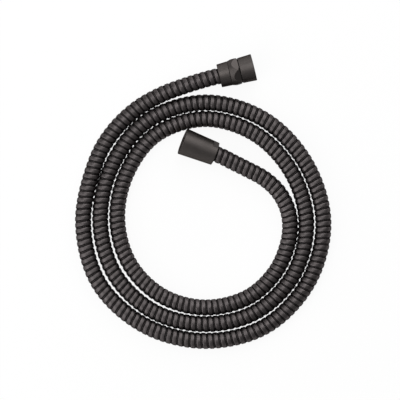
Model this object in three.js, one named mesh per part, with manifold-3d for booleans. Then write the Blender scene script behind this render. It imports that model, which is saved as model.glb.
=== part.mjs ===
// A metal shower hose lying on a flat surface in one loose flat coil, with a captive union nut at each end.
// Millimetres, +Z up. The origin is on the surface, under the middle of the whole object.
import * as THREE from 'three';
import { mergeVertices } from 'three/addons/utils/BufferGeometryUtils.js';
import Module from 'manifold-3d';

const wasm = await Module();
wasm.setup();

// Hose: a spiral-wound strip casing over a plain rubber tube
const CASING_RADIUS = 7.0;
const CASING_BORE_RADIUS = 5.85;
const TUBE_RADIUS = 5.5;
const TUBE_BORE_RADIUS = 4.0;
const HOSE_SIDES = 12;
const HOSE_STEPS = 80;

// Both nuts take the same half-inch pipe thread; the bore is drawn at the thread's minor diameter
const MOUTH_RADIUS = 11.95;
const REAR_RADIUS = 10.4;
const THREAD_MINOR_RADIUS = 9.32;
const SOCKET_DEPTH = 13.6;
const SOCKET_LEAD_IN = 0.9;
const EDGE_CHAMFER = 0.35;
const HEX_NUT_LENGTH = 31.6;
const CONE_NUT_LENGTH = 31.2;

// Hexagon waist of the first nut: a rising turned cone, six flats that fall towards the mouth, then a groove
const WAIST_START = 9.7;
const WAIST_LENGTH = 8.7;
const WAIST_PEAK = 6.7;
const WAIST_CORNER_RADIUS = 12.6;
const WAIST_REAR_FLAT = 11.95;
const WAIST_FRONT_FLAT = 11.0;
const WAIST_FRONT_RADIUS = 11.6;
const WAIST_FRONT_CHAMFER = 1.0;
const GROOVE_WIDTH = 0.8;
const GROOVE_RADIUS = 10.65;
const WAIST_TURN = -4;

// Two spanner flats at the narrow end of the second nut
const SPANNER_FLAT_DEPTH = 1.0;
const SPANNER_FLAT_LENGTH = 5.2;
const SPANNER_FLAT_CORNER = 1.5;
const SPANNER_FLAT_TURN = 57;

// What is clamped on the hose end inside each nut
const RUNNING_GAP = 0.35;
const SEAT_GAP = 0.3;
const FERRULE_WALL = 0.55;
const FERRULE_SETBACK = 1.5;
const CRIMP_DEPTH = 0.15;
const CRIMP_WIDTH = 1.6;
const CRIMP_COUNT = 2;
const FLANGE_RADIUS = 9.0;
const FLANGE_THICKNESS = 2.0;
const COLLAR_LENGTH = 1.6;
const COLLAR_RADIUS = 6.9;
const INSERT_BORE_RADIUS = 2.6;
const BARB_RADIUS = 3.5;
const BARB_ROOT_RADIUS = 3.1;
const BARB_LENGTH = 2.6;
const BARB_COUNT = 4;
const BARB_LAND = 0.25;
const BARB_BACK = 0.3;
const WASHER_RADIUS = 9.0;
const WASHER_BORE_RADIUS = 5.6;
const WASHER_THICKNESS = 2.0;
const ROUND_SEGMENTS = 32;
const CORNER_SEGMENTS = 6;

// Where the coil's middle lies, and how the two nuts point, seen from above
const COIL_CENTRE = [1.53, -18.13];
const HEX_NUT_PLACE = [14.05, 110.9];
const HEX_NUT_HEADING = 14.2;
const CONE_NUT_PLACE = [10.66, 42.04];
const CONE_NUT_HEADING = 158.8;
const CONE_NUT_RISE = 5.5;

// The hose's lay about the coil's middle, from the hexagon nut inwards.
// Lead-in and inner curl are given as [angle, radius, height]; the turns as a radius every 30 degrees.
const LEAD_IN = [[100, 121.1, 10.9], [110, 118.8, 8.8], [122, 116.7, 7.3], [136, 113.8, 7.0]];
const TURN_STEP = 30;
const TURN_START = 150;
const TURN_RADII = [
  110.5, 107.8, 108.4, 106.0, 105.2, 106.6, 105.6,
  104.7, 103.1, 104.6, 105.7, 103.0, 96.0, 92.7, 92.4, 91.4, 90.4, 91.5, 91.1,
  89.7, 88.4, 89.7, 91.2, 88.6, 81.4, 77.6, 76.4, 75.8, 75.8, 76.8,
];
const INNER_CURL = [
  [325, 76.5, 7.0], [346, 75.9, 7.0], [0, 75.3, 7.0], [12, 73.3, 7.0],
  [24, 69.7, 7.0], [37, 64.7, 7.3], [51, 59.8, 8.0], [67, 58.5, 9.0],
];
const HEX_STRAIGHT = 12;
const CONE_STRAIGHT = 6;

const GUNMETAL = { color: 0x4b4846, roughness: 0.45, metalness: 0.75 };
const BLACK_RUBBER = { color: 0x1c1c1d, roughness: 0.8, metalness: 0.0 };
const BRASS = { color: 0xb08d4a, roughness: 0.35, metalness: 0.9 };
const STEEL = { color: 0x8d8f91, roughness: 0.35, metalness: 0.9 };

const radians = THREE.MathUtils.degToRad;

// A nut's centre line as a unit vector, from its heading seen from above and its rise
function pointing(heading, rise) {
  const flat = Math.cos(rise);
  return new THREE.Vector3(
    flat * Math.cos(radians(heading)),
    flat * Math.sin(radians(heading)),
    Math.sin(rise),
  );
}

// The hexagon nut lies level on a corner of its waist; the conical nut's mouth leans on the strand beside it
const coneRise = radians(CONE_NUT_RISE);
const hexEnd = {
  length: HEX_NUT_LENGTH,
  rear: new THREE.Vector3(...HEX_NUT_PLACE, WAIST_CORNER_RADIUS),
  axis: pointing(HEX_NUT_HEADING, 0),
};
const coneEnd = {
  length: CONE_NUT_LENGTH,
  rear: new THREE.Vector3(...CONE_NUT_PLACE, REAR_RADIUS * Math.cos(coneRise)),
  axis: pointing(CONE_NUT_HEADING, coneRise),
};

// Distances along a nut from its hose side: the inner shoulder, and the end of the hose that it covers
const shoulderOf = (end) => end.length - SOCKET_DEPTH;
const hoseEndOf = (end) => shoulderOf(end) - COLLAR_LENGTH;

function alongEnd(end, distance) {
  return end.rear.clone().addScaledVector(end.axis, distance);
}

function coilPoint(angle, radius, height) {
  return new THREE.Vector3(
    COIL_CENTRE[0] + radius * Math.cos(radians(angle)),
    COIL_CENTRE[1] + radius * Math.sin(radians(angle)),
    height,
  );
}

function hoseRoute() {
  const points = [
    alongEnd(hexEnd, hoseEndOf(hexEnd)),
    alongEnd(hexEnd, 0),
    alongEnd(hexEnd, -HEX_STRAIGHT),
  ];
  for (const [angle, radius, height] of LEAD_IN) {
    points.push(coilPoint(angle, radius, height));
  }
  TURN_RADII.forEach((radius, index) => {
    points.push(coilPoint(TURN_START + index * TURN_STEP, radius, CASING_RADIUS));
  });
  for (const [angle, radius, height] of INNER_CURL) {
    points.push(coilPoint(angle, radius, height));
  }
  points.push(alongEnd(coneEnd, -CONE_STRAIGHT));
  points.push(alongEnd(coneEnd, hoseEndOf(coneEnd)));
  return new THREE.CatmullRomCurve3(points);
}

// A regular polygon with a flat side down
function ringOutline(radius) {
  const outline = [];
  for (let side = 0; side < HOSE_SIDES; side += 1) {
    const angle = (side + 0.5) * 2 * Math.PI / HOSE_SIDES;
    outline.push(new THREE.Vector2(radius * Math.cos(angle), radius * Math.sin(angle)));
  }
  return outline;
}

function tubeAlong(route, outerRadius, innerRadius) {
  const section = new THREE.Shape(ringOutline(outerRadius));
  section.holes.push(new THREE.Path(ringOutline(innerRadius)));
  return new THREE.ExtrudeGeometry(section, {
    extrudePath: route,
    steps: HOSE_STEPS,
    bevelEnabled: false,
  });
}

// A closed profile of [radius, distance along the axis] points, turned about the axis
function turned(profile, segments = ROUND_SEGMENTS) {
  const points = profile.map(([radius, distance]) => new THREE.Vector2(radius, distance));
  points.push(points[0].clone());
  return new THREE.LatheGeometry(points, segments);
}

function solidOf(geometry) {
  const bare = geometry.index ? geometry.toNonIndexed() : geometry.clone();
  bare.deleteAttribute('normal');
  bare.deleteAttribute('uv');
  const merged = mergeVertices(bare, 1e-5);
  const mesh = new wasm.Mesh({
    numProp: 3,
    vertProperties: merged.attributes.position.array,
    triVerts: merged.index.array,
  });
  return new wasm.Manifold(mesh);
}

function geometryOf(solid) {
  const mesh = solid.getMesh();
  const geometry = new THREE.BufferGeometry();
  geometry.setAttribute('position', new THREE.BufferAttribute(mesh.vertProperties, 3));
  geometry.setIndex(new THREE.BufferAttribute(mesh.triVerts, 1));
  return geometry;
}

function piece(name, geometry, finish) {
  const mesh = new THREE.Mesh(geometry, new THREE.MeshStandardMaterial(finish));
  mesh.name = name;
  return mesh;
}

// The through bore clears the ferrule; the socket behind the mouth takes the thread
function socketProfile(end) {
  const throughRadius = CASING_RADIUS + RUNNING_GAP + FERRULE_WALL + RUNNING_GAP;
  return [
    [THREAD_MINOR_RADIUS + SOCKET_LEAD_IN, end.length],
    [THREAD_MINOR_RADIUS, end.length - SOCKET_LEAD_IN],
    [THREAD_MINOR_RADIUS, shoulderOf(end)],
    [throughRadius, shoulderOf(end)],
    [throughRadius, EDGE_CHAMFER],
    [throughRadius + EDGE_CHAMFER, 0],
  ];
}

function taperRadius(end, distance) {
  return REAR_RADIUS + (MOUTH_RADIUS - REAR_RADIUS) * distance / end.length;
}

function rearEdge(end) {
  return [
    [REAR_RADIUS - EDGE_CHAMFER, 0],
    [taperRadius(end, EDGE_CHAMFER), EDGE_CHAMFER],
  ];
}

function mouthEdge(end) {
  const distance = end.length - EDGE_CHAMFER;
  return [
    [taperRadius(end, distance), distance],
    [MOUTH_RADIUS - EDGE_CHAMFER, end.length],
  ];
}

function hexNutGeometry(end) {
  const waistEnd = WAIST_START + WAIST_LENGTH;
  const grooveEnd = waistEnd + GROOVE_WIDTH;
  const sleeve = solidOf(turned([
    ...rearEdge(end),
    [taperRadius(end, WAIST_START), WAIST_START],
    [GROOVE_RADIUS, WAIST_START],
    [GROOVE_RADIUS, grooveEnd],
    [taperRadius(end, grooveEnd), grooveEnd],
    ...mouthEdge(end),
    ...socketProfile(end),
  ]));
  const waist = solidOf(turned([
    [THREAD_MINOR_RADIUS + SEAT_GAP, WAIST_START],
    [taperRadius(end, WAIST_START), WAIST_START],
    [WAIST_CORNER_RADIUS, WAIST_START + WAIST_PEAK],
    [WAIST_CORNER_RADIUS, waistEnd - WAIST_FRONT_CHAMFER],
    [WAIST_FRONT_RADIUS, waistEnd],
    [THREAD_MINOR_RADIUS + SEAT_GAP, waistEnd],
  ]));
  const acrossCorners = 1 / Math.cos(Math.PI / 6);
  const flats = new THREE.CylinderGeometry(
    WAIST_FRONT_FLAT * acrossCorners,
    WAIST_REAR_FLAT * acrossCorners,
    WAIST_LENGTH,
    6,
  );
  flats.translate(0, WAIST_START + WAIST_LENGTH / 2, 0);
  flats.rotateY(radians(WAIST_TURN));
  return geometryOf(sleeve.add(waist.intersect(solidOf(flats))));
}

// What a milled flat takes away: a plate with rounded inner corners that runs out at the nut's narrow end
function spannerCutter(end, turn) {
  const level = REAR_RADIUS - SPANNER_FLAT_DEPTH;
  const halfWidth = Math.sqrt(taperRadius(end, SPANNER_FLAT_LENGTH) ** 2 - level ** 2);
  const corner = SPANNER_FLAT_CORNER;
  const arcHeight = SPANNER_FLAT_LENGTH - corner;
  const outline = new THREE.Shape();
  outline.moveTo(-halfWidth, -corner);
  outline.lineTo(halfWidth, -corner);
  outline.absarc(halfWidth - corner, arcHeight, corner, 0, Math.PI / 2, false);
  outline.absarc(corner - halfWidth, arcHeight, corner, Math.PI / 2, Math.PI, false);
  const plate = new THREE.ExtrudeGeometry(outline, {
    depth: REAR_RADIUS,
    curveSegments: CORNER_SEGMENTS,
    bevelEnabled: false,
  });
  plate.translate(0, 0, level);
  plate.rotateY(radians(turn));
  return solidOf(plate);
}

function coneNutGeometry(end) {
  const body = solidOf(turned([
    ...rearEdge(end),
    ...mouthEdge(end),
    ...socketProfile(end),
  ]));
  const firstFlat = spannerCutter(end, SPANNER_FLAT_TURN);
  const secondFlat = spannerCutter(end, SPANNER_FLAT_TURN + 180);
  return geometryOf(body.subtract(firstFlat).subtract(secondFlat));
}

// A thin sleeve over the casing's end, drawn in by two crimp rings
function ferruleGeometry(end) {
  const inner = CASING_RADIUS + RUNNING_GAP;
  const outer = inner + FERRULE_WALL;
  const front = shoulderOf(end);
  const profile = [[inner, FERRULE_SETBACK], [outer, FERRULE_SETBACK]];
  const crimpStep = (front - FERRULE_SETBACK) / (CRIMP_COUNT + 1);
  for (let crimp = 1; crimp <= CRIMP_COUNT; crimp += 1) {
    const middle = FERRULE_SETBACK + crimp * crimpStep;
    profile.push(
      [outer, middle - CRIMP_WIDTH],
      [outer - CRIMP_DEPTH, middle - CRIMP_WIDTH / 2],
      [outer - CRIMP_DEPTH, middle + CRIMP_WIDTH / 2],
      [outer, middle + CRIMP_WIDTH],
    );
  }
  profile.push([outer, front], [inner, front]);
  return turned(profile);
}

// The core of the end: a barbed tail in the rubber tube, a collar against the hose, and a sealing flange
function insertGeometry(end) {
  const flangeRear = shoulderOf(end) + SEAT_GAP;
  const flangeFront = flangeRear + FLANGE_THICKNESS;
  const collarRear = hoseEndOf(end) + SEAT_GAP;
  const tailEnd = collarRear - SEAT_GAP - BARB_COUNT * BARB_LENGTH - BARB_LENGTH / 2;
  const profile = [[INSERT_BORE_RADIUS, flangeFront], [INSERT_BORE_RADIUS, tailEnd]];
  for (let barb = 0; barb < BARB_COUNT; barb += 1) {
    const start = tailEnd + barb * BARB_LENGTH;
    profile.push(
      [BARB_ROOT_RADIUS, start],
      [BARB_RADIUS, start + BARB_LENGTH - BARB_BACK - BARB_LAND],
      [BARB_RADIUS, start + BARB_LENGTH - BARB_BACK],
    );
  }
  profile.push(
    [BARB_ROOT_RADIUS, tailEnd + BARB_COUNT * BARB_LENGTH],
    [BARB_ROOT_RADIUS, collarRear],
    [COLLAR_RADIUS, collarRear],
    [COLLAR_RADIUS, flangeRear],
    [FLANGE_RADIUS, flangeRear],
    [FLANGE_RADIUS, flangeFront],
  );
  return turned(profile);
}

function washerGeometry(end) {
  const rear = shoulderOf(end) + SEAT_GAP + FLANGE_THICKNESS + SEAT_GAP;
  const front = rear + WASHER_THICKNESS;
  return turned([
    [WASHER_BORE_RADIUS, rear],
    [WASHER_RADIUS, rear],
    [WASHER_RADIUS, front],
    [WASHER_BORE_RADIUS, front],
  ]);
}

// One end of the hose, in a frame with Y along the nut towards its mouth and Z as near up as that allows
function endGroup(end, label, nut) {
  const up = new THREE.Vector3(0, 0, 1).addScaledVector(end.axis, -end.axis.z).normalize();
  const side = new THREE.Vector3().crossVectors(end.axis, up);
  const group = new THREE.Group();
  group.position.copy(end.rear);
  group.quaternion.setFromRotationMatrix(new THREE.Matrix4().makeBasis(side, end.axis, up));
  group.add(nut);
  group.add(piece(`${label}_insert`, insertGeometry(end), BRASS));
  group.add(piece(`${label}_ferrule`, ferruleGeometry(end), STEEL));
  group.add(piece(`${label}_washer`, washerGeometry(end), BLACK_RUBBER));
  return group;
}

const route = hoseRoute();
const hose = new THREE.Group();
hose.add(piece('outer_hose', tubeAlong(route, CASING_RADIUS, CASING_BORE_RADIUS), GUNMETAL));
hose.add(piece('inner_tube', tubeAlong(route, TUBE_RADIUS, TUBE_BORE_RADIUS), BLACK_RUBBER));
hose.add(endGroup(hexEnd, 'hex_end', piece('hex_nut', hexNutGeometry(hexEnd), GUNMETAL)));
hose.add(endGroup(coneEnd, 'cone_end', piece('cone_nut', coneNutGeometry(coneEnd), GUNMETAL)));

export default hose;
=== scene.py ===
import math

import bmesh
import bpy
import numpy as np
from mathutils import Matrix, Vector


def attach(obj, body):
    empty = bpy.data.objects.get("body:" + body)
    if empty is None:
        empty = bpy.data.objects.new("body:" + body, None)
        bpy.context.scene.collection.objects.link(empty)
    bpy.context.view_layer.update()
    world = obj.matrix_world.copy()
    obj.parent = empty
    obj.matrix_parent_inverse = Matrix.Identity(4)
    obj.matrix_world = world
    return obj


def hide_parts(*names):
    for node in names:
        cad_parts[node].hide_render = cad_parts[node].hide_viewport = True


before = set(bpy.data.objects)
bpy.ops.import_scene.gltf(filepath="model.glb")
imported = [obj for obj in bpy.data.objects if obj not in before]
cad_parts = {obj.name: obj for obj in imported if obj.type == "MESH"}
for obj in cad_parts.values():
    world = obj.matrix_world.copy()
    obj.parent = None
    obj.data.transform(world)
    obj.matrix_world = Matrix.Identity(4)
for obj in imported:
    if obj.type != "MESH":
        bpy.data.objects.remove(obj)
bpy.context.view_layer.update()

MM = 0.001

# The hose, at the middle height of its ribs
CASING_RADIUS = 7.0 * MM
CASING_BORE_RADIUS = 5.85 * MM
TUBE_RADIUS = 5.5 * MM
TUBE_BORE_RADIUS = 4.0 * MM

# One turn of the wound strip, [place along the hose, radius] in millimetres: a groove, the broad band,
# a groove, the narrow lip
STRIP_PITCH = 5.28 * MM
STRIP_SECTION = [
    (0.00, 6.25), (0.12, 6.84), (0.40, 7.12), (1.00, 7.22), (3.06, 7.22), (3.66, 7.12),
    (3.94, 6.84), (4.06, 6.25), (4.32, 6.62), (4.67, 6.74), (5.02, 6.62), (5.28, 6.25),
]

# Painted shade in the strip's grooves and across its lip: how much of its colour the strip keeps across
# one turn, [share of the pitch, share of the colour]
PAINTED_GROOVE_SHADE = [
    (0.0, 0.05), (0.025, 0.3), (0.07, 1.0), (0.7, 1.0), (0.744, 0.3), (0.769, 0.05),
    (0.82, 0.4), (0.95, 0.4), (1.0, 0.05),
]
CREST_RADIUS = 7.22 * MM
BAND_WIDTH = 4.06 * MM
STRIP_FACES_AROUND = 24

# Where every twentieth turn of the strip begins along the hose, in millimetres from the hexagon nut's end
TURNS_PER_PLACE = 20
TURN_PLACES = [
    -6.5, 101.7, 208.5, 315.5, 422.5, 528.9, 634.0, 740.2, 846.8, 952.3,
    1058.2, 1162.9, 1268.4, 1372.4, 1477.9, 1582.8, 1685.0, 1790.6,
]
TUBE_RINGS = 360
TUBE_FACES_AROUND = 16

# Both nuts
MOUTH_RADIUS = 11.95 * MM
REAR_RADIUS = 10.4 * MM
THREAD_MINOR_RADIUS = 9.32 * MM
THREAD_MAJOR_RADIUS = 10.48 * MM
THREAD_PITCH = 1.814 * MM
THREAD_FLANK = 27.5
THREAD_LENGTH = 8.6 * MM
SOCKET_DEPTH = 13.6 * MM
SOCKET_LEAD_IN = 0.9 * MM
EDGE_CHAMFER = 0.35 * MM
HEX_NUT_LENGTH = 31.6 * MM
CONE_NUT_LENGTH = 31.2 * MM

# The hexagon nut's waist and groove
WAIST_START = 9.7 * MM
WAIST_LENGTH = 8.7 * MM
WAIST_PEAK = 6.7 * MM
WAIST_CORNER_RADIUS = 12.6 * MM
WAIST_REAR_FLAT = 11.95 * MM
WAIST_FRONT_FLAT = 11.0 * MM
WAIST_FRONT_RADIUS = 11.6 * MM
WAIST_FRONT_CHAMFER = 1.0 * MM
WAIST_LINE_WIDTH = 0.5 * MM
WAIST_LINE_DEPTH = 0.25 * MM
GROOVE_WIDTH = 0.8 * MM
GROOVE_RADIUS = 10.65 * MM
WAIST_TURN = -4.0

# The conical nut's spanner flats
SPANNER_FLAT_LEVEL = REAR_RADIUS - 1.0 * MM
SPANNER_FLAT_LENGTH = 5.2 * MM
SPANNER_FLAT_CORNER = 1.5 * MM
SPANNER_FLAT_TURN = 57.0
CORNER_STEPS = 8

# What is clamped on the hose end inside each nut
RUNNING_GAP = 0.35 * MM
SEAT_GAP = 0.3 * MM
FERRULE_WALL = 0.55 * MM
FERRULE_SETBACK = 1.5 * MM
CRIMP_DEPTH = 0.15 * MM
CRIMP_WIDTH = 1.6 * MM
CRIMP_COUNT = 2
FLANGE_RADIUS = 9.0 * MM
FLANGE_THICKNESS = 2.0 * MM
COLLAR_LENGTH = 1.6 * MM
COLLAR_RADIUS = 6.9 * MM
INSERT_BORE_RADIUS = 2.6 * MM
BARB_RADIUS = 3.5 * MM
BARB_ROOT_RADIUS = 3.1 * MM
BARB_LENGTH = 2.6 * MM
BARB_COUNT = 4
BARB_LAND = 0.25 * MM
BARB_BACK = 0.3 * MM
WASHER_RADIUS = 9.0 * MM
WASHER_BORE_RADIUS = 5.6 * MM
WASHER_THICKNESS = 2.0 * MM
FINE_EDGE = 0.15 * MM
NUT_FACES_AROUND = 120

# Folds sharper than this, in degrees, stay sharp
NUT_CREASE = 12
STRIP_CREASE = 50
TUBE_CREASE = 40

# How near counts as touching, for places and for a cut
TOUCH = 1e-6
CUT_TOUCH = 1e-7

# Which of a nut's materials a face has: a milled finish, or painted shade in its recesses
MILLED = 1
SHADED_RECESS = 2

# The lay of the hose, as the part has it, in millimetres and degrees
COIL_CENTRE = (1.53, -18.13)
HEX_NUT_PLACE = (14.05, 110.9)
HEX_NUT_HEADING = 14.2
CONE_NUT_PLACE = (10.66, 42.04)
CONE_NUT_HEADING = 158.8
CONE_NUT_RISE = 5.5
LEAD_IN = [(100, 121.1, 10.9), (110, 118.8, 8.8), (122, 116.7, 7.3), (136, 113.8, 7.0)]
TURN_STEP = 30
TURN_START = 150
TURN_RADII = [
    110.5, 107.8, 108.4, 106.0, 105.2, 106.6, 105.6,
    104.7, 103.1, 104.6, 105.7, 103.0, 96.0, 92.7, 92.4, 91.4, 90.4, 91.5, 91.1,
    89.7, 88.4, 89.7, 91.2, 88.6, 81.4, 77.6, 76.4, 75.8, 75.8, 76.8,
]
INNER_CURL = [
    (325, 76.5, 7.0), (346, 75.9, 7.0), (0, 75.3, 7.0), (12, 73.3, 7.0),
    (24, 69.7, 7.0), (37, 64.7, 7.3), (51, 59.8, 8.0), (67, 58.5, 9.0),
]
HEX_STRAIGHT = 12.0
CONE_STRAIGHT = 6.0

# The camera looks straight down, and the frame is 354 mm wide at the height of the hose's middle
VIEW_CENTRE = (-2.88 * MM, 1.3 * MM)
VIEW_WIDTH = 354.0 * MM
CAMERA_HEIGHT = 3.0
SENSOR_WIDTH = 36.0

# How much of the white floor's tone is left to the lamps, and so to the shadow
FLOOR_SHADOW = 0.08
FLOOR_HALF_WIDTH = 12.0
ROOM_LIGHT = 0.24

# The softboxes: name, azimuth, elevation, height and power; azimuth 0 is +X, counted towards +Y
SOFTBOX_DISTANCE = 1.6
SOFTBOX_WIDTH = 1.2
SOFTBOXES = [
    ("overhead box", 115.0, 70.0, 1.2, 8.5),
    ("left box", 212.0, 44.0, 1.2, 7.5),
    ("far box", 58.0, 42.0, 1.2, 7.5),
    ("low far box", 88.0, 21.0, 1.0, 5.5),
    ("low left box", 182.0, 18.0, 1.0, 5.0),
    ("low near box", 232.0, 20.0, 1.0, 4.5),
]


class HoseEnd:
    """One end of the hose: where its nut's rear face is, and which way the nut points."""

    def __init__(self, label, body, length, place, heading, rear_height, rise):
        self.label = label
        self.body = body
        self.length = length
        self.rear = Vector((place[0] * MM, place[1] * MM, rear_height))
        turn = math.radians(heading)
        flat = math.cos(rise)
        self.axis = Vector((flat * math.cos(turn), flat * math.sin(turn), math.sin(rise)))
        self.up = (Vector((0, 0, 1)) - self.axis * self.axis.z).normalized()
        self.shoulder = length - SOCKET_DEPTH
        self.hose_end = self.shoulder - COLLAR_LENGTH

    def along(self, distance):
        return self.rear + self.axis * distance

    def matrix(self):
        """From a frame with Z along the nut to its mouth, Y up and X to the side, to where the nut is."""
        side = self.up.cross(self.axis)
        turned = Matrix((side, self.up, self.axis)).transposed().to_4x4()
        return Matrix.Translation(self.rear) @ turned


HEX_END = HoseEnd(
    "hex", "hex_nut", HEX_NUT_LENGTH, HEX_NUT_PLACE, HEX_NUT_HEADING, WAIST_CORNER_RADIUS, 0.0
)
CONE_END = HoseEnd(
    "cone", "cone_nut", CONE_NUT_LENGTH, CONE_NUT_PLACE, CONE_NUT_HEADING,
    REAR_RADIUS * math.cos(math.radians(CONE_NUT_RISE)), math.radians(CONE_NUT_RISE),
)


def make_camera():
    data = bpy.data.cameras.new("camera")
    data.sensor_width = SENSOR_WIDTH
    data.lens = SENSOR_WIDTH * CAMERA_HEIGHT / VIEW_WIDTH
    data.clip_end = 50.0
    camera = bpy.data.objects.new("camera", data)
    camera.location = (*VIEW_CENTRE, CAMERA_HEIGHT + CASING_RADIUS)
    bpy.context.scene.collection.objects.link(camera)
    bpy.context.scene.camera = camera


def coil_point(angle, radius, height):
    turn = math.radians(angle)
    x = COIL_CENTRE[0] + radius * math.cos(turn)
    y = COIL_CENTRE[1] + radius * math.sin(turn)
    return Vector((x * MM, y * MM, max(height * MM, CREST_RADIUS)))


def hose_route():
    """The points that the hose's middle passes through, from the hexagon nut inwards."""
    points = [
        HEX_END.along(HEX_END.hose_end),
        HEX_END.along(0.0),
        HEX_END.along(-HEX_STRAIGHT * MM),
    ]
    points += [coil_point(*place) for place in LEAD_IN]
    for index, radius in enumerate(TURN_RADII):
        points.append(coil_point(TURN_START + index * TURN_STEP, radius, CASING_RADIUS / MM))
    points += [coil_point(*place) for place in INNER_CURL]
    points.append(CONE_END.along(-CONE_STRAIGHT * MM))
    points.append(CONE_END.along(CONE_END.hose_end))
    return points


def smooth_line(points, per_span=40):
    """A centripetal Catmull-Rom line through the points, as an array of places."""
    p = np.array(points, float)
    p = np.vstack([2 * p[0] - p[1], p, 2 * p[-1] - p[-2]])
    step = np.sqrt(np.linalg.norm(np.diff(p, axis=0), axis=1))
    shares = np.arange(per_span) / per_span
    rows = []
    for i in range(1, len(p) - 2):
        before, here, after = step[i - 1], step[i], step[i + 1]
        start = (p[i] - p[i - 1]) / before - (p[i + 1] - p[i - 1]) / (before + here)
        start = (start + (p[i + 1] - p[i]) / here) * here
        end = (p[i + 1] - p[i]) / here - (p[i + 2] - p[i]) / (here + after)
        end = (end + (p[i + 2] - p[i + 1]) / after) * here
        for t in shares:
            square = -3 * p[i] + 3 * p[i + 1] - 2 * start - end
            cube = 2 * p[i] - 2 * p[i + 1] + start + end
            rows.append(p[i] + start * t + square * t * t + cube * t ** 3)
    rows.append(p[-2])
    return np.array(rows)


class Lay:
    """The hose's middle line by distance along it, with the way it points there."""

    def __init__(self, line, samples=4000):
        gone = np.concatenate([[0], np.cumsum(np.linalg.norm(np.diff(line, axis=0), axis=1))])
        self.length = gone[-1]
        self.at = np.linspace(0, self.length, samples)
        self.place = np.stack([np.interp(self.at, gone, line[:, k]) for k in range(3)], 1)
        ahead = np.gradient(self.place, self.at, axis=0)
        self.ahead = ahead / np.linalg.norm(ahead, axis=1)[:, None]
        heading = np.unwrap(np.arctan2(self.ahead[:, 1], self.ahead[:, 0]))
        self.curve = np.gradient(heading, self.at)

    def read(self, table, distance):
        return np.stack([np.interp(distance, self.at, table[:, k]) for k in range(3)], 1)

    def bend(self, mesh):
        """Bends a straight mesh, which runs from 0 along X, to follow the line with its Z kept up."""
        straight = places_of(mesh)
        middle = self.read(self.place, straight[:, 0])
        ahead = self.read(self.ahead, straight[:, 0])
        beyond = straight[:, 0] - np.clip(straight[:, 0], 0, self.length)
        left = np.cross((0, 0, 1), ahead)
        left /= np.linalg.norm(left, axis=1)[:, None]
        up = np.cross(ahead, left)
        bent = middle + ahead * beyond[:, None] + left * straight[:, 1:2] + up * straight[:, 2:3]
        mesh.vertices.foreach_set("co", bent.ravel())
        mesh.update()


def piece_from(bm, name):
    mesh = bpy.data.meshes.new(name)
    bm.to_mesh(mesh)
    bm.free()
    piece = bpy.data.objects.new(name, mesh)
    bpy.context.scene.collection.objects.link(piece)
    return piece


def line_of(bm, places):
    """A chain of vertices and edges through [distance, radius] places, in the plane of X and Y."""
    verts = [bm.verts.new((distance, radius, 0)) for distance, radius in places]
    return verts + [bm.edges.new(pair) for pair in zip(verts, verts[1:])]


def wound_turns(name, chains, pitch, turns, faces_around):
    """Whole turns of a right-handed screw surface along X, from two turns before 0.

    Each chain is one pitch long.
    """
    bm = bmesh.new()
    chain = [part for places in chains for part in line_of(bm, places)]
    bmesh.ops.spin(
        bm, geom=chain, cent=(0, 0, 0), axis=(1, 0, 0), dvec=(pitch / faces_around, 0, 0),
        angle=2 * math.pi, steps=faces_around, use_merge=False, use_duplicate=False,
    )
    bmesh.ops.translate(bm, verts=bm.verts[:], vec=(-2 * pitch, 0, 0))
    one_turn = piece_from(bm, name)
    array = one_turn.modifiers.new("turns", "ARRAY")
    array.count = turns + 4
    array.use_relative_offset = False
    array.use_constant_offset = True
    array.constant_offset_displace = (pitch, 0, 0)
    array.use_merge_vertices = True
    array.merge_threshold = TOUCH
    return finished_mesh(one_turn)


def finished_mesh(piece):
    """The piece's mesh with its modifiers done; the piece itself is taken away."""
    depsgraph = bpy.context.evaluated_depsgraph_get()
    mesh = bpy.data.meshes.new_from_object(piece.evaluated_get(depsgraph))
    bpy.data.objects.remove(piece)
    return mesh


def cut_square(mesh, length):
    """Cuts a wound mesh off at 0 and at its length along X."""
    bm = bmesh.new()
    bm.from_mesh(mesh)
    bpy.data.meshes.remove(mesh)
    for place, way in ((0.0, -1.0), (length, 1.0)):
        everything = bm.verts[:] + bm.edges[:] + bm.faces[:]
        bmesh.ops.bisect_plane(
            bm, geom=everything, dist=CUT_TOUCH, plane_co=(place, 0, 0), plane_no=(way, 0, 0),
            clear_outer=True,
        )
    return bm


def close_ends(bm, length, bore_radius):
    """Bridges the inner and the outer rim at each end of a straight tube.

    Rims in one plane bridge crosswise, so the bore's rim stands out a little while it is done.
    """
    for place, outwards in ((0.0, -MM), (length, MM)):
        rims = [
            e for e in bm.edges
            if e.is_boundary and all(abs(v.co.x - place) < TOUCH for v in e.verts)
        ]
        bore = list({
            v for e in rims for v in e.verts if math.hypot(v.co.y, v.co.z) < bore_radius + TOUCH
        })
        bmesh.ops.translate(bm, verts=bore, vec=(outwards, 0, 0))
        bmesh.ops.bridge_loops(bm, edges=rims)
        bmesh.ops.translate(bm, verts=bore, vec=(-outwards, 0, 0))


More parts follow.
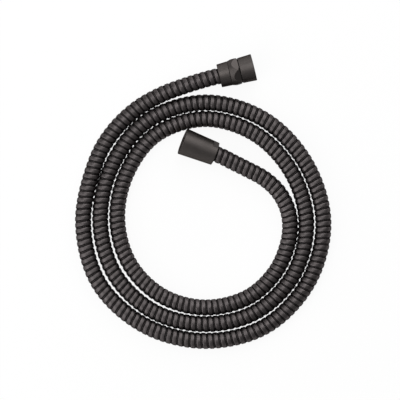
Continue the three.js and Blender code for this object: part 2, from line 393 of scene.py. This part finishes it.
def map_around(mesh, pitch=0.0, along_x=True):
    """A UV map in millimetres: U runs around the axis, V along it, less the helix's own advance."""
    count = len(mesh.loops)
    vertex = np.zeros(count, int)
    mesh.loops.foreach_get("vertex_index", vertex)
    co = places_of(mesh)
    if not along_x:
        co = co[:, [2, 0, 1]]
    start = np.zeros(len(mesh.polygons), int)
    total = np.zeros(len(mesh.polygons), int)
    mesh.polygons.foreach_get("loop_start", start)
    mesh.polygons.foreach_get("loop_total", total)
    face = np.repeat(np.arange(len(start)), total)
    corner = co[vertex]
    centre = np.stack([np.bincount(face, corner[:, k]) / total for k in range(3)], 1)
    middle_turn = np.arctan2(centre[:, 2], centre[:, 1]) / (2 * math.pi)
    turn = np.arctan2(corner[:, 2], corner[:, 1]) / (2 * math.pi)
    turn += np.round(middle_turn[face] - turn)
    radius = np.median(np.hypot(co[:, 1], co[:, 2]))
    if pitch:
        strip = np.floor(centre[:, 0] / pitch - middle_turn)
        across = (corner[:, 0] / pitch - turn - strip[face]) * pitch
        around = (turn + strip[face]) * 2 * math.pi * radius
    else:
        across = corner[:, 0]
        around = turn * 2 * math.pi * radius
    layer = mesh.uv_layers.new(name="UVMap")
    layer.data.foreach_set("uv", np.stack([around, across], 1).ravel() / MM)


def shade_by_angle(piece, degrees):
    piece.data.shade_smooth()
    piece.data.set_sharp_from_angle(angle=math.radians(degrees))


def places_of(mesh):
    co = np.zeros(len(mesh.vertices) * 3)
    mesh.vertices.foreach_get("co", co)
    return co.reshape(-1, 3)


def turn_place(turn):
    """How far along the hose the strip's turn begins, even a little beyond the table."""
    turns = np.arange(len(TURN_PLACES)) * TURNS_PER_PLACE
    beyond = turn - np.clip(turn, turns[0], turns[-1])
    return np.interp(turn, turns, TURN_PLACES) * MM + beyond * STRIP_PITCH


def settle_strip(mesh, lay):
    """Puts each turn of the strip where it lies.

    Its band keeps its width, and what is between the bands gives.
    """
    co = places_of(mesh)
    turn = np.arctan2(co[:, 2], co[:, 1]) / (2 * math.pi)
    wound = co[:, 0] / STRIP_PITCH - turn
    strip = np.floor(wound + 1e-4)
    share = wound - strip
    start = turn_place(strip + turn)
    pitch = turn_place(strip + turn + 1) - start
    stretch = 1 - np.interp(start, lay.at, lay.curve) * co[:, 1]
    drawn = BAND_WIDTH / STRIP_PITCH
    band = BAND_WIDTH / (stretch * pitch)
    beyond = band + (share - drawn) * (1 - band) / (1 - drawn)
    co[:, 0] = start + pitch * np.where(share < drawn, share * band / drawn, beyond)
    mesh.vertices.foreach_set("co", co.ravel())
    mesh.update()


def make_casing(lay):
    outer = [(distance * MM, radius * MM) for distance, radius in STRIP_SECTION]
    inner = [(0.0, CASING_BORE_RADIUS), (STRIP_PITCH, CASING_BORE_RADIUS)]
    turns = (len(TURN_PLACES) - 1) * TURNS_PER_PLACE - 4
    mesh = wound_turns("casing", [outer, inner], STRIP_PITCH, turns, STRIP_FACES_AROUND)
    map_around(mesh, STRIP_PITCH)
    settle_strip(mesh, lay)
    bm = cut_square(mesh, lay.length)
    close_ends(bm, lay.length, CASING_BORE_RADIUS)
    bmesh.ops.recalc_face_normals(bm, faces=bm.faces[:])
    casing = piece_from(bm, "wound_casing")
    lay.bend(casing.data)
    shade_by_angle(casing, STRIP_CREASE)
    return casing


def make_inner_tube(lay):
    bm = bmesh.new()
    rings = [lay.length * ring / TUBE_RINGS for ring in range(TUBE_RINGS + 1)]
    chain = line_of(bm, [(ring, TUBE_RADIUS) for ring in rings])
    chain += line_of(bm, [(ring, TUBE_BORE_RADIUS) for ring in rings])
    bmesh.ops.spin(
        bm, geom=chain, cent=(0, 0, 0), axis=(1, 0, 0), angle=2 * math.pi,
        steps=TUBE_FACES_AROUND, use_merge=True, use_duplicate=False,
    )
    close_ends(bm, lay.length, TUBE_BORE_RADIUS)
    bmesh.ops.recalc_face_normals(bm, faces=bm.faces[:])
    tube = piece_from(bm, "water_tube")
    map_around(tube.data)
    lay.bend(tube.data)
    shade_by_angle(tube, TUBE_CREASE)
    return tube


def turned(profile, closed=True):
    """Turns a [radius, distance] profile about Z."""
    bm = bmesh.new()
    verts = [bm.verts.new((radius, 0, distance)) for radius, distance in profile]
    pairs = list(zip(verts, verts[1:]))
    if closed:
        pairs.append((verts[-1], verts[0]))
    edges = [bm.edges.new(pair) for pair in pairs]
    bmesh.ops.spin(
        bm, geom=verts + edges, cent=(0, 0, 0), axis=(0, 0, 1), angle=2 * math.pi,
        steps=NUT_FACES_AROUND, use_merge=True, use_duplicate=False,
    )
    return bm


def taper_radius(end, distance):
    return REAR_RADIUS + (MOUTH_RADIUS - REAR_RADIUS) * distance / end.length


def threaded_socket(end):
    """The screw surface inside a nut's mouth, standing along Z, cut square at both ends."""
    slope = (THREAD_MAJOR_RADIUS - THREAD_MINOR_RADIUS) * math.tan(math.radians(THREAD_FLANK))
    flat = (THREAD_PITCH - 2 * slope) / 2
    chain = [
        (0.0, THREAD_MINOR_RADIUS),
        (flat, THREAD_MINOR_RADIUS),
        (flat + slope, THREAD_MAJOR_RADIUS),
        (2 * flat + slope, THREAD_MAJOR_RADIUS),
        (THREAD_PITCH, THREAD_MINOR_RADIUS),
    ]
    turns = math.ceil(THREAD_LENGTH / THREAD_PITCH)
    mesh = wound_turns("thread", [chain], THREAD_PITCH, turns, NUT_FACES_AROUND)
    bm = cut_square(mesh, THREAD_LENGTH)
    upright = Matrix.Rotation(math.radians(-90), 4, "Y")
    bmesh.ops.transform(bm, verts=bm.verts[:], matrix=upright)
    start = end.length - SOCKET_LEAD_IN - THREAD_LENGTH
    bmesh.ops.translate(bm, verts=bm.verts[:], vec=(0, 0, start))
    return bm


def bore_profile(end):
    """From the plain bore behind the thread, down through the nut, to its rear rim."""
    through = CASING_RADIUS + RUNNING_GAP + FERRULE_WALL + RUNNING_GAP
    thread_start = end.length - SOCKET_LEAD_IN - THREAD_LENGTH
    return [
        (THREAD_MINOR_RADIUS, thread_start - FINE_EDGE),
        (THREAD_MINOR_RADIUS, end.shoulder + FINE_EDGE),
        (THREAD_MINOR_RADIUS - FINE_EDGE, end.shoulder),
        (through + FINE_EDGE, end.shoulder),
        (through, end.shoulder - FINE_EDGE),
        (through, EDGE_CHAMFER),
        (through + EDGE_CHAMFER, 0.0),
    ]


def mouth_profile(end):
    edge = end.length - EDGE_CHAMFER
    return [
        (taper_radius(end, edge), edge),
        (MOUTH_RADIUS - EDGE_CHAMFER, end.length),
        (THREAD_MAJOR_RADIUS + FINE_EDGE, end.length),
    ]


def nut_shell(end, middle=()):
    """A nut with its tapered outside, stepped bore and real thread, as one closed skin."""
    profile = bore_profile(end)
    profile += [
        (REAR_RADIUS - EDGE_CHAMFER, 0.0),
        (taper_radius(end, EDGE_CHAMFER), EDGE_CHAMFER),
    ]
    profile += list(middle)
    profile += mouth_profile(end)
    shell = turned(profile, closed=False)
    thread = threaded_socket(end)
    mesh = bpy.data.meshes.new("thread")
    thread.to_mesh(mesh)
    thread.free()
    shell.from_mesh(mesh)
    bpy.data.meshes.remove(mesh)
    rims = [e for e in shell.edges if e.is_boundary]
    middle_height = end.length - SOCKET_LEAD_IN - THREAD_LENGTH / 2
    for upper in (True, False):
        pair = [e for e in rims if (e.verts[0].co.z > middle_height) == upper]
        bmesh.ops.bridge_loops(shell, edges=pair)
    bmesh.ops.recalc_face_normals(shell, faces=shell.faces[:])
    return shell


def cut_flat(bm, faces, place, facing):
    """Mills a flat: cuts the given faces at a plane, drops what is outside and closes the cut."""
    edges = {e for f in faces for e in f.edges}
    verts = {v for f in faces for v in f.verts}
    result = bmesh.ops.bisect_plane(
        bm, geom=list(verts) + list(edges) + list(faces), dist=CUT_TOUCH, plane_co=place,
        plane_no=facing, clear_outer=True,
    )
    rim = [g for g in result["geom_cut"] if isinstance(g, bmesh.types.BMEdge)]
    for face in bmesh.ops.edgeloop_fill(bm, edges=rim)["faces"]:
        face.material_index = MILLED


def soften_edges(bm, edges, width):
    bmesh.ops.bevel(
        bm, geom=edges, offset=width, offset_type="OFFSET", segments=2, profile=0.5,
        affect="EDGES", clamp_overlap=True, material=-1,
    )


def faces_between(bm, low, high, least_radius):
    """The faces of a nut's outside from one height to another."""
    return [
        f for f in bm.faces
        if all(
            low - TOUCH < v.co.z < high + TOUCH and math.hypot(v.co.x, v.co.y) > least_radius
            for v in f.verts
        )
    ]


def cut_hexagon(bm, waist_end):
    """Mills the waist's six flats, which fall towards the groove."""
    fall = math.atan2(WAIST_REAR_FLAT - WAIST_FRONT_FLAT, WAIST_LENGTH)
    for side in range(6):
        turn = math.radians(side * 60 + 30 + WAIST_TURN)
        out = Vector((-math.sin(turn), math.cos(turn), 0))
        facing = out * math.cos(fall) + Vector((0, 0, math.sin(fall)))
        place = out * WAIST_REAR_FLAT + Vector((0, 0, WAIST_START))
        waist = faces_between(bm, WAIST_START, waist_end, GROOVE_RADIUS - TOUCH)
        cut_flat(bm, waist, place, facing)


def make_hex_nut():
    waist_end = WAIST_START + WAIST_LENGTH
    groove_end = waist_end + GROOVE_WIDTH
    line_start = WAIST_START - WAIST_LINE_WIDTH
    line_middle = WAIST_START - WAIST_LINE_WIDTH / 2
    bm = nut_shell(HEX_END, [
        (taper_radius(HEX_END, line_start), line_start),
        (taper_radius(HEX_END, line_middle) - WAIST_LINE_DEPTH, line_middle),
        (taper_radius(HEX_END, WAIST_START), WAIST_START),
        (WAIST_CORNER_RADIUS, WAIST_START + WAIST_PEAK),
        (WAIST_CORNER_RADIUS, waist_end - WAIST_FRONT_CHAMFER),
        (WAIST_FRONT_RADIUS, waist_end),
        (GROOVE_RADIUS, waist_end),
        (GROOVE_RADIUS, groove_end),
        (taper_radius(HEX_END, groove_end) - FINE_EDGE, groove_end),
        (taper_radius(HEX_END, groove_end), groove_end + FINE_EDGE),
    ])
    cut_hexagon(bm, waist_end)
    # The waist's line and the groove get painted shade
    for low, high in ((line_start, WAIST_START), (waist_end, groove_end)):
        for face in faces_between(bm, low, high, REAR_RADIUS - WAIST_LINE_DEPTH):
            face.material_index = SHADED_RECESS
    bmesh.ops.recalc_face_normals(bm, faces=bm.faces[:])
    return piece_from(bm, "hexagon_nut")


def spanner_cutter(turn):
    """What one milled flat takes away: a plate with rounded inner corners, facing X at a turn of 0."""
    widest = taper_radius(CONE_END, SPANNER_FLAT_LENGTH)
    half_width = math.sqrt(widest ** 2 - SPANNER_FLAT_LEVEL ** 2)
    corner = SPANNER_FLAT_CORNER
    outline = [(half_width, -corner)]
    for step in range(CORNER_STEPS + 1):
        bend = math.radians(90 * step / CORNER_STEPS)
        across = half_width - corner + corner * math.cos(bend)
        outline.append((across, SPANNER_FLAT_LENGTH - corner + corner * math.sin(bend)))
    outline += [(-across, along) for across, along in reversed(outline)]
    bm = bmesh.new()
    face = bm.faces.new([
        bm.verts.new((SPANNER_FLAT_LEVEL, across, along)) for across, along in outline
    ])
    grown = bmesh.ops.extrude_face_region(bm, geom=[face], use_keep_orig=True)["geom"]
    moved = [g for g in grown if isinstance(g, bmesh.types.BMVert)]
    bmesh.ops.translate(bm, verts=moved, vec=(REAR_RADIUS, 0, 0))
    bmesh.ops.recalc_face_normals(bm, faces=bm.faces[:])
    bmesh.ops.rotate(
        bm, verts=bm.verts[:], cent=(0, 0, 0), matrix=Matrix.Rotation(math.radians(turn), 3, "Z")
    )
    return piece_from(bm, "spanner_cutter")


def mark_spanner_flat(mesh, turn):
    """Gives one spanner flat its finish, and the walls around it painted shade."""
    out = Vector((math.cos(math.radians(turn)), math.sin(math.radians(turn)), 0))
    for face in mesh.polygons:
        slope = face.normal.dot(out)
        height = face.center.dot(out) - SPANNER_FLAT_LEVEL
        if slope > 0.999 and abs(height) < TOUCH:
            face.material_index = MILLED
        # The walls around the flat get painted shade
        elif abs(slope) < 0.001 and height > TOUCH and face.center.z < SPANNER_FLAT_LENGTH + TOUCH:
            face.material_index = SHADED_RECESS


def make_cone_nut():
    nut = piece_from(nut_shell(CONE_END), "conical_nut")
    turns = [90 + SPANNER_FLAT_TURN + side for side in (0, 180)]
    cutters = [spanner_cutter(turn) for turn in turns]
    for cutter in cutters:
        cut = nut.modifiers.new("spanner flat", "BOOLEAN")
        cut.operation = "DIFFERENCE"
        cut.solver = "MANIFOLD"
        cut.object = cutter
    mesh = finished_mesh(nut)
    for cutter in cutters:
        bpy.data.objects.remove(cutter)
    for turn in turns:
        mark_spanner_flat(mesh, turn)
    nut = bpy.data.objects.new("conical_nut", mesh)
    bpy.context.scene.collection.objects.link(nut)
    return nut


def ferrule(end):
    inner = CASING_RADIUS + RUNNING_GAP
    outer = inner + FERRULE_WALL
    front = end.shoulder
    profile = [
        (inner, FERRULE_SETBACK + FINE_EDGE),
        (inner + FINE_EDGE, FERRULE_SETBACK),
        (outer - FINE_EDGE, FERRULE_SETBACK),
        (outer, FERRULE_SETBACK + FINE_EDGE),
    ]
    crimp_step = (front - FERRULE_SETBACK) / (CRIMP_COUNT + 1)
    for crimp in range(1, CRIMP_COUNT + 1):
        middle = FERRULE_SETBACK + crimp * crimp_step
        profile += [
            (outer, middle - CRIMP_WIDTH),
            (outer - CRIMP_DEPTH, middle - CRIMP_WIDTH / 2),
            (outer - CRIMP_DEPTH, middle + CRIMP_WIDTH / 2),
            (outer, middle + CRIMP_WIDTH),
        ]
    profile += [(outer, front), (inner, front)]
    return piece_from(turned(profile), end.label + "_ferrule")


def insert(end):
    flange_rear = end.shoulder + SEAT_GAP
    flange_front = flange_rear + FLANGE_THICKNESS
    collar_rear = end.hose_end + SEAT_GAP
    tail_end = end.hose_end - BARB_COUNT * BARB_LENGTH - BARB_LENGTH / 2
    profile = [
        (INSERT_BORE_RADIUS + FINE_EDGE, flange_front),
        (INSERT_BORE_RADIUS, flange_front - FINE_EDGE),
        (INSERT_BORE_RADIUS, tail_end),
    ]
    for barb in range(BARB_COUNT):
        start = tail_end + barb * BARB_LENGTH
        profile += [
            (BARB_ROOT_RADIUS, start),
            (BARB_RADIUS, start + BARB_LENGTH - BARB_BACK - BARB_LAND),
            (BARB_RADIUS, start + BARB_LENGTH - BARB_BACK),
        ]
    profile += [
        (BARB_ROOT_RADIUS, tail_end + BARB_COUNT * BARB_LENGTH),
        (BARB_ROOT_RADIUS, collar_rear),
        (COLLAR_RADIUS, collar_rear),
        (COLLAR_RADIUS, flange_rear),
        (FLANGE_RADIUS - FINE_EDGE, flange_rear),
        (FLANGE_RADIUS, flange_rear + FINE_EDGE),
        (FLANGE_RADIUS, flange_front - FINE_EDGE),
        (FLANGE_RADIUS - FINE_EDGE, flange_front),
    ]
    return piece_from(turned(profile), end.label + "_insert")


def washer(end):
    rear = end.shoulder + SEAT_GAP + FLANGE_THICKNESS + SEAT_GAP
    front = rear + WASHER_THICKNESS
    bm = turned([
        (WASHER_BORE_RADIUS, rear),
        (WASHER_RADIUS, rear),
        (WASHER_RADIUS, front),
        (WASHER_BORE_RADIUS, front),
    ])
    soften_edges(bm, [e for e in bm.edges if e.calc_face_angle(0) > 1.0], 2 * FINE_EDGE)
    return piece_from(bm, end.label + "_washer")


def give_finishes(piece, finishes):
    """Fills a piece's material slots in order."""
    slots = piece.data.materials
    while len(slots) < len(finishes):
        slots.append(None)
    for index, finish in enumerate(finishes):
        slots[index] = finish


def set_piece(piece, end, node, body, finishes):
    """Maps, shades and places a turned piece, and says what it stands for."""
    bm = bmesh.new()
    bm.from_mesh(piece.data)
    bmesh.ops.recalc_face_normals(bm, faces=bm.faces[:])
    bm.to_mesh(piece.data)
    bm.free()
    map_around(piece.data, along_x=False)
    piece.data.transform(end.matrix())
    shade_by_angle(piece, NUT_CREASE)
    declare(piece, node, body, finishes)


def declare(piece, node, body, finishes):
    give_finishes(piece, finishes)
    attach(piece, body)
    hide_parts(node)


def grain_group():
    """Drawn or turned lines along U with slow tone changes: Grain 0 to 1 and Tone 0 to 1."""
    group = bpy.data.node_groups.new("drawn grain", "ShaderNodeTree")
    face = group.interface
    face.new_socket("Map", in_out="INPUT", socket_type="NodeSocketVector")
    across = face.new_socket("Across", in_out="INPUT", socket_type="NodeSocketFloat")
    across.default_value = 3.0
    along = face.new_socket("Along", in_out="INPUT", socket_type="NodeSocketFloat")
    along.default_value = 0.06
    face.new_socket("Grain", in_out="OUTPUT", socket_type="NodeSocketFloat")
    face.new_socket("Tone", in_out="OUTPUT", socket_type="NodeSocketFloat")
    nodes, links = group.nodes, group.links
    given = nodes.new("NodeGroupInput")
    made = nodes.new("NodeGroupOutput")
    scale = nodes.new("ShaderNodeCombineXYZ")
    links.new(given.outputs["Along"], scale.inputs["X"])
    links.new(given.outputs["Across"], scale.inputs["Y"])
    stretched = nodes.new("ShaderNodeVectorMath")
    stretched.operation = "MULTIPLY"
    links.new(given.outputs["Map"], stretched.inputs[0])
    links.new(scale.outputs[0], stretched.inputs[1])
    lines = nodes.new("ShaderNodeTexNoise")
    lines.inputs["Scale"].default_value = 1.0
    lines.inputs["Detail"].default_value = 4.0
    lines.inputs["Roughness"].default_value = 0.6
    links.new(stretched.outputs[0], lines.inputs["Vector"])
    links.new(lines.outputs["Fac"], made.inputs["Grain"])
    place = nodes.new("ShaderNodeTexCoord")
    slow = nodes.new("ShaderNodeTexNoise")
    slow.inputs["Scale"].default_value = 90.0
    slow.inputs["Detail"].default_value = 3.0
    links.new(place.outputs["Object"], slow.inputs["Vector"])
    links.new(slow.outputs["Fac"], made.inputs["Tone"])
    return group


def new_material(name):
    material = bpy.data.materials.new(name)
    material.use_nodes = True
    return material, material.node_tree.nodes, material.node_tree.links


def coated_metal(name, grain, colour, across, along, contrast, roughness, metallic, edge=1.0):
    """A satin coating over drawn or turned metal; returns the nodes that a finish goes on with."""
    material, nodes, links = new_material(name)
    shader = nodes["Principled BSDF"]
    shader.inputs["Metallic"].default_value = metallic
    shader.inputs["Specular Tint"].default_value = (edge, edge, edge, 1)
    mapped = nodes.new("ShaderNodeUVMap")
    mapped.uv_map = "UVMap"
    lines = nodes.new("ShaderNodeGroup")
    lines.node_tree = grain
    lines.inputs["Across"].default_value = across
    lines.inputs["Along"].default_value = along
    links.new(mapped.outputs["UV"], lines.inputs["Map"])
    tint = nodes.new("ShaderNodeMix")
    tint.data_type = "RGBA"
    tint.inputs["A"].default_value = (*(c * (1 - contrast) for c in colour), 1)
    tint.inputs["B"].default_value = (*(c * (1 + contrast) for c in colour), 1)
    links.new(lines.outputs["Grain"], tint.inputs["Factor"])
    links.new(tint.outputs["Result"], shader.inputs["Base Color"])
    rough = nodes.new("ShaderNodeMapRange")
    rough.inputs["From Min"].default_value = 0.3
    rough.inputs["From Max"].default_value = 0.7
    rough.inputs["To Min"].default_value = roughness - 0.05
    rough.inputs["To Max"].default_value = roughness + 0.06
    links.new(lines.outputs["Tone"], rough.inputs["Value"])
    links.new(rough.outputs["Result"], shader.inputs["Roughness"])
    bump = nodes.new("ShaderNodeBump")
    bump.inputs["Strength"].default_value = 0.25
    bump.inputs["Distance"].default_value = 0.02 * MM
    links.new(lines.outputs["Grain"], bump.inputs["Height"])
    links.new(bump.outputs["Normal"], shader.inputs["Normal"])
    return material, mapped, tint, shader


def casing_coating(grain):
    material, mapped, tint, shader = coated_metal(
        "gunmetal casing", grain, (0.097, 0.087, 0.087), across=2.2, along=0.05, contrast=0.12,
        roughness=0.42, metallic=1.0, edge=0.3,
    )
    nodes, links = material.node_tree.nodes, material.node_tree.links
    split = nodes.new("ShaderNodeSeparateXYZ")
    links.new(mapped.outputs["UV"], split.inputs[0])
    share = nodes.new("ShaderNodeMath")
    share.operation = "DIVIDE"
    share.inputs[1].default_value = STRIP_PITCH / MM
    links.new(split.outputs["Y"], share.inputs[0])
    # Painted shade: the colour is darkened in the grooves and on the lip, turn by turn along the strip
    shade = nodes.new("ShaderNodeValToRGB")
    ramp = shade.color_ramp
    stops = PAINTED_GROOVE_SHADE[:1] + PAINTED_GROOVE_SHADE[-1:] + PAINTED_GROOVE_SHADE[1:-1]
    for index, (position, level) in enumerate(stops):
        stop = ramp.elements[index] if index < 2 else ramp.elements.new(position)
        stop.position = position
        stop.color = (level, level, level, 1)
    links.new(share.outputs[0], shade.inputs["Fac"])
    darker = nodes.new("ShaderNodeMix")
    darker.data_type = "RGBA"
    darker.blend_type = "MULTIPLY"
    darker.inputs["Factor"].default_value = 1.0
    links.new(tint.outputs["Result"], darker.inputs["A"])
    links.new(shade.outputs["Color"], darker.inputs["B"])
    links.new(darker.outputs["Result"], shader.inputs["Base Color"])
    return material


def nut_coatings(grain):
    """The finishes of what is turned, of the hexagon's flats and of the spanner flats, and the painted
    shade of recesses.
    """
    colour = (0.087, 0.078, 0.0745)
    turned_nut = coated_metal(
        "gunmetal nut", grain, colour, across=6.0, along=0.03, contrast=0.1,
        roughness=0.44, metallic=1.0, edge=0.3,
    )
    milled_hexagon = coated_metal(
        "milled gunmetal", grain, colour, across=3.0, along=0.03, contrast=0.06,
        roughness=0.26, metallic=1.0, edge=0.1,
    )
    # Painted shade: recesses get a near-black, matt copy of the coating
    recess_painted_shade = coated_metal(
        "painted recess shade", grain, (0.012, 0.011, 0.01), across=6.0, along=0.03, contrast=0.1,
        roughness=0.7, metallic=0.0, edge=0.1,
    )
    spanner_flat = coated_metal(
        "flat gunmetal", grain, colour, across=3.0, along=0.03, contrast=0.06,
        roughness=0.45, metallic=0.4, edge=0.3,
    )
    return turned_nut[0], milled_hexagon[0], recess_painted_shade[0], spanner_flat[0]


def bright_metal(name, grain, colour):
    return coated_metal(
        name, grain, colour, across=6.0, along=0.03, contrast=0.15, roughness=0.3, metallic=1.0
    )[0]


def rubber(name, level):
    material, nodes, links = new_material(name)
    shader = nodes["Principled BSDF"]
    place = nodes.new("ShaderNodeTexCoord")
    speckle = nodes.new("ShaderNodeTexNoise")
    speckle.inputs["Scale"].default_value = 900.0
    speckle.inputs["Detail"].default_value = 3.0
    links.new(place.outputs["Object"], speckle.inputs["Vector"])
    tint = nodes.new("ShaderNodeMix")
    tint.data_type = "RGBA"
    tint.inputs["A"].default_value = (level * 0.7, level * 0.7, level * 0.7, 1)
    tint.inputs["B"].default_value = (level * 1.3, level * 1.3, level * 1.35, 1)
    links.new(speckle.outputs["Fac"], tint.inputs["Factor"])
    links.new(tint.outputs["Result"], shader.inputs["Base Color"])
    shader.inputs["Roughness"].default_value = 0.7
    bump = nodes.new("ShaderNodeBump")
    bump.inputs["Strength"].default_value = 0.2
    bump.inputs["Distance"].default_value = 0.03 * MM
    links.new(speckle.outputs["Fac"], bump.inputs["Height"])
    links.new(bump.outputs["Normal"], shader.inputs["Normal"])
    return material


def seen_plainly(nodes, links):
    """How far the floor shows plain white: where it is looked at, reflected, or seen through glass."""
    path = nodes.new("ShaderNodeLightPath")
    total = path.outputs["Is Camera Ray"]
    for kind in ("Is Glossy Ray", "Is Transmission Ray"):
        either = nodes.new("ShaderNodeMath")
        either.operation = "MAXIMUM"
        links.new(total, either.inputs[0])
        links.new(path.outputs[kind], either.inputs[1])
        total = either.outputs[0]
    part = nodes.new("ShaderNodeMath")
    part.operation = "MULTIPLY"
    part.inputs[1].default_value = 1.0 - FLOOR_SHADOW
    links.new(total, part.inputs[0])
    return part.outputs[0]


def make_floor():
    bm = bmesh.new()
    bmesh.ops.create_grid(bm, x_segments=1, y_segments=1, size=FLOOR_HALF_WIDTH)
    floor = piece_from(bm, "floor")
    material, nodes, links = new_material("white floor")
    shader = nodes["Principled BSDF"]
    shader.inputs["Base Color"].default_value = (0.96, 0.96, 0.96, 1)
    shader.inputs["Roughness"].default_value = 0.9
    shader.inputs["Specular IOR Level"].default_value = 0.0
    lift = nodes.new("ShaderNodeEmission")
    lift.inputs["Color"].default_value = (1, 1, 1, 1)
    lift.inputs["Strength"].default_value = 1.0
    blend = nodes.new("ShaderNodeMixShader")
    links.new(seen_plainly(nodes, links), blend.inputs["Fac"])
    links.new(shader.outputs[0], blend.inputs[1])
    links.new(lift.outputs[0], blend.inputs[2])
    links.new(blend.outputs[0], nodes["Material Output"].inputs["Surface"])
    floor.data.materials.append(material)


def make_world():
    world = bpy.data.worlds.new("studio")
    bpy.context.scene.world = world
    world.use_nodes = True
    room = world.node_tree.nodes["Background"]
    room.inputs["Color"].default_value = (1, 1, 1, 1)
    room.inputs["Strength"].default_value = ROOM_LIGHT


def make_lights():
    """Hangs the softboxes, each facing the hose."""
    for name, azimuth, elevation, height, power in SOFTBOXES:
        data = bpy.data.lights.new(name, "AREA")
        data.shape = "RECTANGLE"
        data.size = SOFTBOX_WIDTH
        data.size_y = height
        data.energy = power
        lamp = bpy.data.objects.new(name, data)
        turn, rise = math.radians(azimuth), math.radians(elevation)
        flat = math.cos(rise)
        way = Vector((flat * math.cos(turn), flat * math.sin(turn), math.sin(rise)))
        lamp.location = way * SOFTBOX_DISTANCE
        lamp.rotation_euler = way.to_track_quat("Z", "Y").to_euler()
        bpy.context.scene.collection.objects.link(lamp)


make_camera()
lay = Lay(smooth_line(hose_route()))
grain = grain_group()
casing = make_casing(lay)
declare(casing, "outer_hose", "hose", [casing_coating(grain)])
water_tube = make_inner_tube(lay)
declare(water_tube, "inner_tube", "hose", [rubber("tube rubber", 0.03)])

turned_nut, milled_hexagon, recess_painted_shade, spanner_flat = nut_coatings(grain)
brass = [bright_metal("brass", grain, (0.62, 0.45, 0.2))]
steel = [bright_metal("steel", grain, (0.45, 0.45, 0.46))]
washer_rubber = [rubber("washer rubber", 0.018)]
for end, nut, nut_finishes_and_shade in (
    (HEX_END, make_hex_nut(), [turned_nut, milled_hexagon, recess_painted_shade]),
    (CONE_END, make_cone_nut(), [turned_nut, spanner_flat, recess_painted_shade]),
):
    node = end.label + "_end_"
    set_piece(nut, end, end.label + "_nut", end.body, nut_finishes_and_shade)
    set_piece(insert(end), end, node + "insert", "hose", brass)
    set_piece(ferrule(end), end, node + "ferrule", "hose", steel)
    set_piece(washer(end), end, node + "washer", end.body, washer_rubber)

make_floor()
make_world()
make_lights()
bpy.context.scene.view_settings.view_transform = "Standard"
